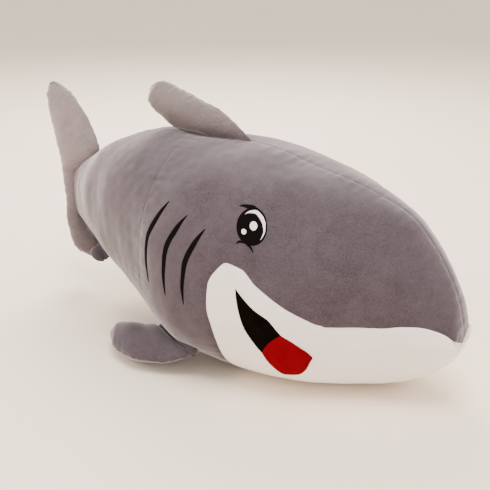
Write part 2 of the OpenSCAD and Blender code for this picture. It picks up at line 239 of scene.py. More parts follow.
def line_between(a, b, count=DENSE_COUNT):
    return mix(np.array(a, float), np.array(b, float), np.linspace(0, 1, count)[:, None])


def seam_lines():
    """Each seam of the body as a line of (place, angle) spots."""
    straight = {
        "top": ((0, 0), (TAIL_ROOT, 0)),
        "girth": ((GIRTH, -BELLY_ANGLE), (GIRTH, BELLY_ANGLE)),
        "jaw_back": ((JAW_START, BELLY_ANGLE), (JAW_START, 360 - BELLY_ANGLE)),
    }
    lines = {name: line_between(a, b, SEAM_SAMPLES) for name, (a, b) in straight.items()}
    jaw = along(JAW_SEAM, np.linspace(0, 1, SEAM_SAMPLES))
    belly = line_between((JAW_START, BELLY_ANGLE), (TAIL_ROOT, BELLY_ANGLE), SEAM_SAMPLES)
    for side, name in SIDES.items():
        lines["jaw_" + name] = mirrored(jaw, side)
        lines["belly_" + name] = mirrored(belly, side)
    return lines


SEAM_LINES = seam_lines()
# Depth of each seam's groove and how far its puckers reach
SEAM_DEPTH = {"top": 0.8, "girth": 0.5, "jaw": 3.0, "belly": 2.6}
SEAM_WIDTH = 11 * MM
PUCKER_REACH = 24 * MM
PUCKER_HEIGHT = 0.5 * MM
PUCKER_WAVES = (16 * MM, 44 * MM)
SEAM_POINTS = 900
# Sets the seams apart along the puckers' field, so that no two gather alike
SEAM_SHIFT = 7.3


def seam_tree():
    """A search tree over all seams, with the depth and the run of each of its points."""
    points, depths, runs = [], [], []
    for number, (name, spots) in enumerate(SEAM_LINES.items()):
        line = evenly(plain_point(spots[:, 0], spots[:, 1]), SEAM_POINTS)
        step = np.linalg.norm(line[1] - line[0])
        points.append(line)
        depths.append(np.full(len(line), SEAM_DEPTH[name.split("_")[0]] * MM))
        runs.append(np.arange(len(line)) * step + number * SEAM_SHIFT)
    points = np.concatenate(points)
    tree = KDTree(len(points))
    for i, p in enumerate(points):
        tree.insert(p, i)
    tree.balance()
    return tree, np.concatenate(depths), np.concatenate(runs)


SEAM_TREE, SEAM_DEPTHS, SEAM_RUNS = seam_tree()


# Soft folds in the jaw, each between two points given in side view
FOLDS = (
    ((300, 232), (262, 178)), ((405, 168), (345, 96)),
    ((520, 150), (450, 92)), ((215, 172), (182, 96)),
)
FOLD_DEPTH = 2.6 * MM
FOLD_WIDTH = 15 * MM
FOLD_BOW = 0.02
# Lumps of the stuffing and of the cloth: height, shortest and longest wave, and seed
LUMPS = ((1.7 * MM, 0.11, 0.26, 11), (0.3 * MM, 0.03, 0.07, 12))
# Below this height the unevenness fades out, as the skin comes to lie on the floor
LYING_HEIGHT = 0.03


def folds(points):
    """How far soft folds push the skin in, the same on both sides."""
    depth = np.zeros(len(points))
    flat = points[:, [0, 2]]
    for start, stop in FOLDS:
        a, b = np.array(start) * MM, np.array(stop) * MM
        share = np.clip((flat - a) @ (b - a) / ((b - a) @ (b - a)), 0, 1)
        middle = a + share[:, None] * (b - a) + ((share - share**2) * FOLD_BOW)[:, None]
        away = np.linalg.norm(flat - middle, axis=1) / FOLD_WIDTH
        depth += FOLD_DEPTH * np.exp(-(away * 2.2) ** 2) * np.sin(share * math.pi) ** 0.7
    return depth


def relief(points):
    """How far the real skin stands above the plain one: stuffing, seams and puckers."""
    flat = points.reshape(-1, 3)
    found = [SEAM_TREE.find(p) for p in flat]
    nearest = np.array([f[1] for f in found])
    away = np.array([f[2] for f in found])
    groove = -SEAM_DEPTHS[nearest] * np.clip(1 - away / SEAM_WIDTH, 0, 1) ** 1.7
    gather = ripple(SEAM_RUNS[nearest][:, None], *PUCKER_WAVES, 5)
    pucker = PUCKER_HEIGHT * gather * np.exp(-away / PUCKER_REACH) * np.clip(away / (3 * MM), 0, 1)
    lumps = sum(height * ripple(flat, *waves, seed) for height, *waves, seed in LUMPS)
    lying = ease(flat[:, 2] / LYING_HEIGHT)
    return ((groove + pucker + lumps - folds(flat)) * lying).reshape(points.shape[:-1])


def skin(spots, lift=0.0):
    """Points on the real skin for (place, angle) spots, raised by lift metres."""
    place, angle = spots[..., 0], spots[..., 1]
    base = plain_point(place, angle)
    normal = outward(place, angle)
    rise = np.asarray(relief(base) + lift)[..., None]
    found = base + normal * rise
    found[..., 2] = np.maximum(found[..., 2], 0.0)
    return found


# --- Meshes ---


def grid_cells(rows, columns, closed=False):
    index = np.arange(rows * columns).reshape(rows, columns)
    if closed:
        index = np.concatenate([index, index[:, :1]], 1)
    corners = (index[:-1, :-1], index[:-1, 1:], index[1:, 1:], index[1:, :-1])
    return np.stack(corners, -1).reshape(-1, 4)


# Creases sharper than this are shaded as creases, so that turned-in edges stay crisp
SHARP_ANGLE = math.radians(62)


def make_object(name, points, cells, material, uvs=None):
    """A smooth-shaded mesh object from an array of points and an array of faces."""
    mesh = bpy.data.meshes.new(name)
    faces = cells.tolist() if isinstance(cells, np.ndarray) else cells
    mesh.from_pydata(np.asarray(points, float).tolist(), [], faces)
    if uvs is not None:
        layer = mesh.uv_layers.new(name="UVMap")
        corners = np.zeros(len(mesh.loops), np.int32)
        mesh.loops.foreach_get("vertex_index", corners)
        layer.data.foreach_set("uv", np.asarray(uvs, np.float32)[corners].ravel())
    mesh.validate()
    mesh.shade_smooth()
    mesh.set_sharp_from_angle(angle=SHARP_ANGLE)
    mesh.materials.append(material)
    obj = bpy.data.objects.new(name, mesh)
    bpy.context.scene.collection.objects.link(obj)
    return obj


def unit(v):
    return v / np.maximum(np.linalg.norm(v, axis=-1, keepdims=True), 1e-12)


def facing(points, cells, normals):
    """cells, turned round if they look against the normals at their first corners."""
    a, b, c = (points[cells[:, k]] for k in range(3))
    looks = (np.cross(b - a, c - b) * normals[cells[:, 0]]).sum()
    return cells if looks > 0 else cells[:, ::-1]


def laid(spots, lift=0.0, closed=False):
    """The points and the outward-facing cells of a grid of spots laid on the skin."""
    points = skin(spots, lift).reshape(-1, 3)
    normals = outward(spots[..., 0], spots[..., 1]).reshape(-1, 3)
    return points, facing(points, grid_cells(*spots.shape[:2], closed), normals)


def welded(points, cells):
    """The same mesh with points that coincide made one."""
    keys = np.round(points / (0.01 * MM)).astype(np.int64)
    _, first, index = np.unique(keys, axis=0, return_index=True, return_inverse=True)
    return points[first], index.reshape(-1)[cells]


def open_edges(cells):
    """The directed edges that only one cell uses."""
    edges = np.concatenate([cells[:, [k, (k + 1) % 4]] for k in range(4)])
    edges = edges[edges[:, 0] != edges[:, 1]]
    _, index, count = np.unique(
        np.sort(edges, axis=1), axis=0, return_index=True, return_counts=True
    )
    return edges[index[count == 1]]


def hemmed(points, cells, steps):
    """The sheet with its open edges turned in, by steps of (depth, width) in metres."""
    a, b, c = (points[cells[:, k]] for k in range(3))
    face_normal = np.cross(b - a, c - a)
    normals = np.zeros_like(points)
    for k in range(4):
        np.add.at(normals, cells[:, k], face_normal)
    normals = unit(normals)
    edges = open_edges(cells)
    rim, index = np.unique(edges, return_inverse=True)
    index = index.reshape(edges.shape)
    inward = np.zeros((len(rim), 3))
    into = np.cross(normals[edges[:, 0]], points[edges[:, 1]] - points[edges[:, 0]])
    for k in range(2):
        np.add.at(inward, index[:, k], into)
    inward = unit(inward)
    found, walls, previous = [points], [], rim
    start = len(points)
    for depth, width in steps:
        found.append(points[rim] - normals[rim] * depth + inward * width)
        here = start + np.arange(len(rim))
        p, q = index[:, 0], index[:, 1]
        walls.append(np.stack([previous[q], previous[p], here[p], here[q]], -1))
        previous = here
        start += len(rim)
    return np.concatenate(found), np.concatenate([cells] + walls)


def coons(top, bottom, left, right):
    """A grid of spots between four edges that share their corners. Rows run top to bottom."""
    s = np.linspace(0, 1, len(left))[:, None, None]
    t = np.linspace(0, 1, len(top))[None, :, None]
    across = mix(left[:, None, :], right[:, None, :], t)
    down = mix(top[None, :, :], bottom[None, :, :], s)
    corners = mix(mix(top[0], top[-1], t), mix(bottom[0], bottom[-1], t), s)
    return across + down - corners


def relaxed(grid, passes):
    """The grid with its inner spots evened out."""
    for _ in range(passes):
        inner = grid[:-2, 1:-1] + grid[2:, 1:-1] + grid[1:-1, :-2] + grid[1:-1, 2:]
        grid[1:-1, 1:-1] = inner / 4
    return grid


def spaced(spots, count):
    """count spots along a line of spots, at equal distances on the skin."""
    return evenly(spots, count, run_along(plain_point(spots[:, 0], spots[:, 1])))


def length_of(spots):
    return run_along(plain_point(spots[:, 0], spots[:, 1]))[-1]


MESH_STEP = 3.6 * MM


def count_for(spots):
    return max(4, int(length_of(spots) / MESH_STEP))


# --- Materials ---


class Nodes:
    """Short ways to add nodes to one material."""

    def __init__(self, name):
        self.material = bpy.data.materials.new(name)
        self.material.use_nodes = True
        self.tree = self.material.node_tree
        self.shader = self.tree.nodes["Principled BSDF"]

    def add(self, kind, inputs=(), **settings):
        node = self.tree.nodes.new("ShaderNode" + kind)
        for key, value in settings.items():
            setattr(node, key, value)
        for key, value in dict(inputs).items():
            self.plug(node.inputs[key], value)
        return node

    def plug(self, socket, value):
        if isinstance(value, bpy.types.NodeSocket):
            self.tree.links.new(value, socket)
        else:
            socket.default_value = value

    def place(self, scale=(1, 1, 1), turn=(0, 0, 0)):
        where = self.add("TexCoord").outputs["Object"]
        inputs = {"Vector": where, "Scale": scale, "Rotation": turn}
        return self.add("Mapping", inputs).outputs["Vector"]

    def noise(self, scale, detail=2.0, rough=0.5, twist=0.0, place=None):
        inputs = {
            "Scale": scale, "Detail": detail, "Roughness": rough, "Distortion": twist,
            "Vector": place or self.place(),
        }
        return self.add("TexNoise", inputs).outputs["Fac"]

    def maths(self, kind, a, b, clamp=False):
        node = self.add("Math", {0: a, 1: b}, operation=kind, use_clamp=clamp)
        return node.outputs[0]

    def span(self, value, low, high, to_low=0.0, to_high=1.0):
        inputs = {
            "Value": value, "From Min": low, "From Max": high, "To Min": to_low,
            "To Max": to_high,
        }
        return self.add("MapRange", inputs).outputs["Result"]

    def blend(self, share, a, b, kind="MIX"):
        inputs = {0: share, 6: a, 7: b}
        node = self.add("Mix", inputs, data_type="RGBA", blend_type=kind)
        return node.outputs[2]

    def bump(self, height, strength, distance):
        inputs = {"Height": height, "Strength": strength, "Distance": distance}
        self.plug(self.shader.inputs["Normal"], self.add("Bump", inputs).outputs[0])

    def finish(self, colour, **settings):
        self.plug(self.shader.inputs["Base Color"], colour)
        for key, value in settings.items():
            self.plug(self.shader.inputs[key.replace("_", " ")], value)
        return self.material


def plush(name, dark, light, sheen, tint, patchy=1.0, shade_below=None):
    """Short-pile fabric: brushed patches, nap and grain over one colour. Given a pair of heights as
    its last argument, it paints shade below them: darker colour and weaker sheen towards the bottom."""
    n = Nodes(name)
    patches = n.noise(11, 3, 0.55, 0.8)
    brushed = n.noise(30, 4, 0.6, 1.6, n.place((1, 0.55, 1.5), (0.3, 0.5, 0.2)))
    nap = n.noise(330, 2, 0.6)
    grain = n.noise(1100, 1, 0.5)
    share = n.maths("ADD", n.span(patches, 0.3, 0.7, 0.05, 0.32 * patchy),
                    n.span(brushed, 0.3, 0.7, 0.05, 0.26 * patchy))
    share = n.maths("ADD", share, n.span(nap, 0.25, 0.75, -0.16, 0.38))
    share = n.maths("ADD", share, n.span(grain, 0.25, 0.75, -0.12, 0.18), True)
    height = n.maths("ADD", nap, n.maths("MULTIPLY", grain, 0.5))
    n.bump(height, 0.55, 0.9 * MM)
    rough = n.span(nap, 0.2, 0.8, 0.86, 1.0)
    colour = n.blend(share, dark, light)
    # Painted shade: below the given heights the colour darkens and the sheen weakens, where these fins sit
    # in shadow.
    if shade_below:
        height = n.add("SeparateXYZ", {0: n.place()}).outputs["Z"]
        fade = n.span(height, shade_below[0], shade_below[1], 0.42, 1)
        shade = n.add("CombineColor", {0: fade, 1: fade, 2: fade}).outputs[0]
        colour = n.blend(1.0, colour, shade, "MULTIPLY")
        sheen = n.span(height, shade_below[0], shade_below[1], 0.35 * sheen, sheen)
    return n.finish(colour, Roughness=rough, Sheen_Weight=sheen,
                    Sheen_Roughness=0.36, Sheen_Tint=tint, Specular_IOR_Level=0.1)


def satin(name, dark, light, pitch, roughness, shine):
    """Embroidery thread laid side by side: each thread is a ridge across the shape."""
    n = Nodes(name)
    where = n.add("UVMap").outputs["UV"]
    wave = n.add("TexWave", {
        "Vector": where, "Scale": 0.314 / pitch, "Distortion": 1.2, "Detail": 1.0,
        "Detail Scale": 2.0,
    }, wave_type="BANDS", bands_direction="Y").outputs["Fac"]
    fleck = n.noise(420, 2, 0.6)
    share = n.maths("ADD", n.maths("MULTIPLY", wave, 0.6), n.span(fleck, 0.3, 0.7, 0, 0.4), True)
    n.bump(wave, 0.6, 0.35 * MM)
    return n.finish(n.blend(share, dark, light), Specular_IOR_Level=shine,
                    Roughness=n.span(fleck, 0.3, 0.7, roughness, roughness + 0.15))


def felted(name, dark, light, shine):
    """Flat applique cloth with a fine nap."""
    n = Nodes(name)
    nap = n.noise(520, 3, 0.6)
    cloud = n.noise(24, 3, 0.5, 0.6)
    share = n.maths("ADD", n.span(nap, 0.25, 0.75, 0, 0.5), n.span(cloud, 0.3, 0.7, 0, 0.5), True)
    n.bump(nap, 0.5, 0.6 * MM)
    return n.finish(n.blend(share, dark, light), Roughness=n.span(nap, 0.2, 0.8, 0.8, 0.96),
                    Specular_IOR_Level=shine)


def thread_cloth(name, dark, light):
    """Sewing thread, twisted from finer strands."""
    n = Nodes(name)
    strand = n.noise(1500, 2, 0.5, 0.4, n.place((1, 0.3, 1)))
    n.bump(strand, 0.5, 0.2 * MM)
    return n.finish(n.blend(strand, dark, light), Roughness=n.span(strand, 0.2, 0.8, 0.55, 0.75),
                    Sheen_Weight=0.2, Specular_IOR_Level=0.35)


def fibre(name):
    """Loose white stuffing."""
    n = Nodes(name)
    tuft = n.noise(60, 5, 0.7, 2.0)
    n.bump(tuft, 0.8, 4 * MM)
    return n.finish(n.blend(tuft, (0.62, 0.62, 0.6, 1), (0.9, 0.9, 0.88, 1)),
                    Roughness=n.span(tuft, 0.2, 0.8, 0.85, 1.0), Sheen_Weight=0.4)


GREY = plush("grey_plush", (0.038, 0.029, 0.036, 1), (0.100, 0.080, 0.094, 1), 0.85,
             (1.0, 0.925, 0.95, 1))
# Painted light: the tail and dorsal greys are lighter copies of the body's grey, for the light these fins
# catch, with painted shade towards their bottoms.
TAIL_GREY_PAINTED_LIGHT = plush("grey_plush_tail_painted_light", (0.140, 0.110, 0.116, 1), (0.300, 0.250, 0.262, 1), 1.0,
                  (1.0, 0.93, 0.94, 1), 1.0, (0.12, 0.36))
DORSAL_GREY_PAINTED_LIGHT = plush("grey_plush_dorsal_painted_light", (0.100, 0.078, 0.082, 1), (0.235, 0.195, 0.200, 1), 1.0,
                    (1.0, 0.92, 0.92, 1), 1.0, (0.46, 0.575))
WHITE = plush("white_plush", (0.84, 0.77, 0.715, 1), (0.97, 0.91, 0.86, 1), 0.3,
              (1.0, 0.96, 0.92, 1), 0.7)
MOUTH_BLACK = felted("mouth_black", (0.001, 0.0006, 0.0005, 1), (0.004, 0.0025, 0.0015, 1), 0.02)
TONGUE_RED = felted("tongue_red", (0.12, 0.0, 0.003, 1), (0.19, 0.0, 0.005, 1), 0.03)
BLACK_THREAD = satin("black_satin", (0.0008, 0.0006, 0.0006, 1), (0.005, 0.0035, 0.003, 1), 0.9 * MM,
                     0.75, 0.04)
WHITE_THREAD = satin("white_satin", (0.74, 0.72, 0.71, 1), (0.93, 0.92, 0.92, 1), 0.9 * MM,
                     0.45, 0.4)
GREY_SEWING = thread_cloth("grey_sewing", (0.13, 0.115, 0.125, 1), (0.30, 0.27, 0.29, 1))
WHITE_SEWING = thread_cloth("white_sewing", (0.62, 0.60, 0.57, 1), (0.86, 0.84, 0.80, 1))
STUFFING = fibre("stuffing")

# --- Body panels ---
BODY_HEM = ((2.0 * MM, 0.5 * MM), (5.0 * MM, 1.0 * MM), (9.0 * MM, 1.2 * MM))


def body_panel(name, grids, side, material):
    """A sewn panel from grids of spots that share edges, hemmed all round."""
    points, cells = [], []
    first = 0
    for grid in grids:
        surface, found = laid(mirrored(grid, side))
        cells.append(found + first)
        points.append(surface)
        first += len(surface)
    points, cells = welded(np.concatenate(points), np.concatenate(cells))
    points, cells = hemmed(points, cells, BODY_HEM)
    return make_object(name, points, cells, material)


# The corner of the jaw seam, as a share of its points, and where the top seam meets the
# line that runs up from it
JAW_CORNER = 0.30
CROWN_X = 215


def head_grids():
    """The head panel's spots: behind the jaw's corner, and in front of it."""
    corner = along(JAW_SEAM, np.array(JAW_CORNER))
    crown = (float(place_at(CROWN_X)), 0)
    rise = line_between(corner, crown)
    rise = spaced(rise, count_for(rise))
    back_edge = along(JAW_SEAM, JAW_CORNER * (1 - DENSE))
    back_edge = spaced(back_edge, count_for(back_edge))
    last = np.concatenate([rise[::-1], back_edge[1:]])
    first = spaced(line_between((GIRTH, 0), (GIRTH, BELLY_ANGLE)), len(last))
    upper = line_between(first[0], last[0])
    lower = line_between(first[-1], last[-1])
    rows = count_for(upper)
    behind = coons(first, last, spaced(upper, rows), spaced(lower, rows))
    top = line_between(crown, (0, 0))
    seam = along(JAW_SEAM, mix(JAW_CORNER, 1, DENSE))
    columns = count_for(seam)
    nose_edge = line_between((0, 0), (0, NOSE_ANGLE), len(rise))
    ahead = coons(spaced(top, columns), spaced(seam, columns), rise[::-1], nose_edge)
    return [relaxed(behind, 60), relaxed(ahead, 60)]


def jaw_grid():
    """The jaw's spots on one side, from its seam to the middle of the chin."""
    seam = along(JAW_SEAM, DENSE)
    chin = line_between((JAW_START, 180), (0, 180))
    back = line_between(seam[0], chin[0])
    columns = count_for(seam)
    rows = count_for(back) * 2
    nose_edge = line_between(seam[-1], chin[-1], rows)
    grid = coons(spaced(seam, columns), spaced(chin, columns), spaced(back, rows), nose_edge)
    return relaxed(grid, 80)


def plain_grid(places, angles):
    """Spots between two places and two angles."""
    rows = count_for(line_between((places[0], 90), (places[1], 90)))
    columns = count_for(line_between((places[1], angles[0]), (places[1], angles[1])))
    grid = np.meshgrid(np.linspace(*places, rows), np.linspace(*angles, columns), indexing="ij")
    return np.stack(grid, -1)


def fitted(obj, node, body="body"):
    """Hides the piece's node among the parts from model.glb, and hangs the piece on the body it rides on.
    """
    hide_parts(node)
    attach(obj, body)


def body_panels():
    """Every panel of the body's skin."""
    panels = []
    for side, name in SIDES.items():
        rear = plain_grid((TAIL_ROOT, GIRTH), (0, BELLY_ANGLE))
        panels.append(("head_skin_" + name, head_grids(), side, GREY, "head_panel_" + name))
        panels.append(("rear_skin_" + name, [rear], side, GREY, "rear_panel_" + name))
    belly = plain_grid((TAIL_ROOT, JAW_START), (BELLY_ANGLE, 360 - BELLY_ANGLE))
    panels.append(("belly_skin", [belly], LEFT, GREY, "belly_panel"))
    half = jaw_grid()
    other = half * np.array((1, -1)) + np.array((0, 360))
    panels.append(("jaw_skin", [half, other], LEFT, WHITE, "jaw_panel"))
    made = []
    for name, grids, side, material, node in panels:
        obj = body_panel(name, grids, side, material)
        fitted(obj, node)
        made.append(obj)
    return made


# --- Stitches ---
STITCH_PITCH = 4.2 * MM
STITCH_SHARE = 0.72
BEAD_RINGS = ((0.0, 0.15), (0.15, 0.8), (0.5, 1.0), (0.85, 0.8), (1.0, 0.15))
BEAD_SIDES = 6
# How deep the body's stitches sit in the pile
STITCH_SUNK = 0.7 * MM
SEAM_THREAD = 0.45 * MM
# The share of a seam's length that has stitches
SEWN_SPAN = (0.02, 0.985)


def stitches(name, lines, radius, material):
    """Sewing stitches along lines of (points, normals), each one a small spindle of thread."""
    points, cells = [], []
    turn = np.linspace(0, 2 * math.pi, BEAD_SIDES, endpoint=False)
    first = 0
    for line, normals in lines:
        run = np.linalg.norm(np.diff(line, axis=0), axis=1).sum()
        count = max(2, int(run / STITCH_PITCH))
        both = evenly(np.concatenate([line, normals], 1), count + 1)
        for a, b in zip(both[:-1], both[1:]):
            ahead = unit(b[:3] - a[:3])
            up = unit(a[3:])
            across = np.cross(ahead, up)
            for share, size in BEAD_RINGS:
                centre = mix(a[:3], b[:3], share * STITCH_SHARE) + up * radius * size * 0.5
                ring = np.cos(turn)[:, None] * up + np.sin(turn)[:, None] * across
                points.append(centre + ring * radius * size)
            cells.append(grid_cells(len(BEAD_RINGS), BEAD_SIDES, True) + first)
            first += len(BEAD_RINGS) * BEAD_SIDES
    return make_object(name, np.concatenate(points), np.concatenate(cells), material)


def seam_line(name):
    """The bottom of a seam's groove, as points and normals."""
    spots = SEAM_LINES[name]
    start, stop = (int(share * (len(spots) - 1)) for share in SEWN_SPAN)
    spots = spots[start:stop + 1]
    return skin(spots, -STITCH_SUNK), outward(spots[:, 0], spots[:, 1])


SEWN = {
    "top_center_seam": (("top",), GREY_SEWING, "grey_thread"),
    "girth_seam": (("girth",), GREY_SEWING, "grey_thread"),
    "jaw_seam": (("jaw_right", "jaw_left"), WHITE_SEWING, "white_thread"),
    "belly_seam_right": (("belly_right",), GREY_SEWING, "grey_thread"),
    "belly_seam_left": (("belly_left",), GREY_SEWING, "grey_thread"),
}


def body_seams():
    for node, (names, material, slot) in SEWN.items():
        lines = [seam_line(n) for n in names]
        fitted(stitches(node + "_stitches", lines, SEAM_THREAD, material), node)


# --- Embroidery and applique ---
EDGE_SHARES = np.array((0, 0.012, 0.03, 0.06, 0.1, 0.16))
ACROSS = np.concatenate([EDGE_SHARES, np.linspace(0.22, 0.78, 15), 1 - EDGE_SHARES[::-1]])
LENGTHWISE = np.concatenate([EDGE_SHARES, np.linspace(0.2, 0.8, 60), 1 - EDGE_SHARES[::-1]])
# How far a patch's edge starts under the skin
PATCH_SUNK = 1.2 * MM


def raised(away, lift, shoulder):
    """Height of a patch at a distance from its edge: it rises from under the skin."""
    return mix(-PATCH_SUNK, lift, np.sqrt(ease(away / shoulder)))


def strip_patch(name, upper, lower, side, lift, material, shoulder=1.6, ends=(0.0, 1.0), bow=0):
    """A patch between two edges given in side view, laid on the skin. Its edges rise over
    shoulder millimetres, it spans the shares ends of its length, and its first end bulges
    out by bow millimetres."""
    t = mix(ends[0], ends[1], LENGTHWISE)
    a, b = along(upper, t), along(lower, t)
    flat = mix(a[:, None, :], b[:, None, :], ACROSS[None, :, None])
    bulge = bow * 4 * (ACROSS * (1 - ACROSS))[None, :] * ((1 - t) ** 3)[:, None]
    flat = flat + unit(a[0] + b[0] - a[-1] - b[-1]) * bulge[..., None]
    width = np.linalg.norm(b - a, axis=1)[:, None]
    away = np.minimum(ACROSS, 1 - ACROSS)[None, :] * width
    run = run_along((a + b) / 2)
    away = np.minimum(away, np.minimum(run, run[-1] - run)[:, None])
    spots = mirrored(side_spots(flat), side)
    points, cells = laid(spots, raised(away, lift * MM, shoulder))
    across = (ACROSS[None, :] - 0.5) * width
    uvs = np.stack([across, np.broadcast_to(run[:, None], across.shape)], -1).reshape(-1, 2) * MM
    return make_object(name, points, cells, material, uvs)


RING_SHARES = np.concatenate([np.linspace(0.0, 0.88, 12), (0.92, 0.95, 0.975, 0.99, 1.0)])
SPOKES = 72


def eye_view(a, b):
    """Side-view points from shares of the eye's half width and half height."""
    a, b = np.asarray(a, float)[..., None], np.asarray(b, float)[..., None]
    return EYE_CENTER + a * EYE_FORWARD + b * EYE_UP


def oval_patch(name, centre, size, side, lift, material, shoulder=1.2):
    """An oval on the eye, its centre and size as shares of the eye."""
    turn = np.linspace(0, 2 * math.pi, SPOKES, endpoint=False)
    a = centre[0] + size[0] * RING_SHARES[:, None] * np.cos(turn)
    b = centre[1] + size[1] * RING_SHARES[:, None] * np.sin(turn)
    flat = eye_view(a, b)
    reach = np.linalg.norm(EYE_FORWARD) * size[0]
    away = np.broadcast_to((1 - RING_SHARES)[:, None] * reach, a.shape)
    spots = mirrored(side_spots(flat), side)
    points, cells = laid(spots, raised(away, lift * MM, shoulder), True)
    return make_object(name, points, cells, material, flat.reshape(-1, 2) * MM)


# The eye's strips, each as two edges: shares of the eye's half width, then of its half height
EYE_STRIPS = {
    "crescent": (
        ((-0.52, -0.20, 0.22, 0.66, 0.91, 0.84, 0.42), (0.57, 0.81, 0.86, 0.60, 0.12, -0.36, -0.80)),
        ((-0.52, -0.20, 0.14, 0.45, 0.69, 0.71, 0.42), (0.57, 0.69, 0.67, 0.46, 0.08, -0.36, -0.80)),
    ),
    "brow": (
        ((-0.91, -0.50, -0.05, 0.33, 0.61, 0.90), (1.10, 1.17, 1.12, 0.96, 0.77, 0.42)),
        ((-0.91, -0.57, -0.28, 0.05, 0.45, 0.85), (1.08, 1.02, 0.92, 0.84, 0.62, 0.30)),
    ),
    "lash": (
        ((-1.07, -0.83, -0.53, -0.20, -0.03, -0.01), (-0.88, -0.71, -0.73, -0.93, -1.15, -1.38)),
        ((-1.07, -0.83, -0.56, -0.28, -0.13, -0.06), (-0.93, -0.84, -0.87, -1.05, -1.22, -1.38)),
    ),
}


# The highlights' centres and sizes, as shares of the eye
GLINTS = {"large": ((0.14, 0.05), (0.25, 0.25)), "small": ((-0.49, -0.25), (0.18, 0.16))}


def eye_strip(kind, side, lift, material, shoulder):
    upper, lower = (eye_view(*edge) for edge in EYE_STRIPS[kind])
    return strip_patch("eye_" + kind + "_" + SIDES[side], upper, lower, side, lift, material, shoulder)


def eye(side):
    """An eye: black oval, white crescent and highlights, brow and lashes."""
    name = SIDES[side]
    iris = oval_patch("eye_black_" + name, (0, 0), (1, 1), side, 1.5, BLACK_THREAD)
    crescent = eye_strip("crescent", side, 2.3, WHITE_THREAD, 0.9)
    glints = [oval_patch("eye_glint_" + kind + "_" + name, *oval, side, 2.5, WHITE_THREAD, 0.8)
              for kind, oval in GLINTS.items()]
    brow = eye_strip("brow", side, 1.5, BLACK_THREAD, 0.8)
    lash = eye_strip("lash", side, 1.5, BLACK_THREAD, 0.6)
    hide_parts("eye_" + name)
    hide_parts("eye_highlight_" + name)
    for slot, pieces in (("black_embroidery", [iris, brow, lash]),
                         ("white_embroidery", [crescent] + glints)):
        for obj in pieces:
            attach(obj, "body")


def gill(key, side):
    """One embroidered gill slit, which tapers to both ends."""
    middle = np.array(GILLS[key], float)
    half = np.stack([np.array(GILL_HALVES), np.zeros(len(GILL_HALVES))], -1)
    obj = strip_patch("gill_" + key + "_thread_" + SIDES[side], middle - half, middle + half,
                      side, 1.5, BLACK_THREAD, 1.4)
    fitted(obj, "gill_" + key + "_" + SIDES[side])


def mouth(side):
    """The black mouth and the red tongue that lies over its front end."""
    name = SIDES[side]
    black = strip_patch("mouth_cloth_" + name, MOUTH_UPPER, MOUTH_LOWER, side, 1.4, MOUTH_BLACK,
                        1.6, (0.0, 0.985))
    fitted(black, "mouth_" + name)
    red = strip_patch("tongue_cloth_" + name, TONGUE_UPPER, TONGUE_LOWER, side, 2.8, TONGUE_RED,
                      1.8, bow=5)
    fitted(red, "tongue_" + name)


# --- Fins ---
DORSAL_BULGE, PECTORAL_BULGE, PELVIC_BULGE, TAIL_BULGE = 36, 34, 13, 25


def body_top(x):
    return float(section(place_at(x))[0])


# How far the dorsal fin's cloth stands off the back where its edge is sewn down
DORSAL_GAP = 4
# How far the front edge of the tail's upper lobe is pressed into the cloth of the back
TAIL_SUNK = 4
TAIL_FRONT = NOSE_X - BODY_LENGTH * TAIL_ROOT**2 - ROOT_GAP - 3
DORSAL_FRONT = 62
DORSAL_REAR = -146
# Each row is place, front edge, rear edge and half thickness, from the root to the tip
DORSAL = (
    (0.00, (DORSAL_FRONT, 0, body_top(DORSAL_FRONT) + DORSAL_GAP),
     (DORSAL_REAR, 0, body_top(DORSAL_REAR) + DORSAL_GAP), 19),
    (0.20, (12, 0, 527), (-170, 0, 496), 0.9 * DORSAL_BULGE),
    (0.45, (-62, 0, 559), (-190, 0, 511), DORSAL_BULGE),
    (0.75, (-140, 0, 585), (-220, 0, 528), 0.8 * DORSAL_BULGE),
    (0.92, (-192, 0, 598), (-238, 0, 546), 0.5 * DORSAL_BULGE),
    (1.00, (-218, 0, 595), (-241, 0, 568), 0),
)
PECTORAL = (
    (0.00, (84, -242 - ROOT_GAP, 60), (-68, -188 - ROOT_GAP, 56), 16),
    (0.20, (64, -264, 54), (-94, -182, 52), 0.85 * PECTORAL_BULGE),
    (0.45, (12, -286, 41), (-118, -186, 41), PECTORAL_BULGE),
    (0.72, (-50, -302, 38), (-148, -186, 38), PECTORAL_BULGE),
    (0.92, (-120, -286, 35), (-184, -198, 35), 0.7 * PECTORAL_BULGE),
    (1.00, (-158, -264, 34), (-192, -224, 34), 0),
)
PELVIC = (
    (0.00, (-304, -109, 155), (-352, -95, 175), 5),
    (0.30, (-309, -113, 148), (-356, -100, 168), 0.8 * PELVIC_BULGE),
    (0.65, (-317, -117, 142), (-359, -105, 161), PELVIC_BULGE),
    (0.90, (-328, -116, 140), (-358, -106, 156), 0.6 * PELVIC_BULGE),
    (1.00, (-338, -114, 142), (-354, -108, 152), 0),
)
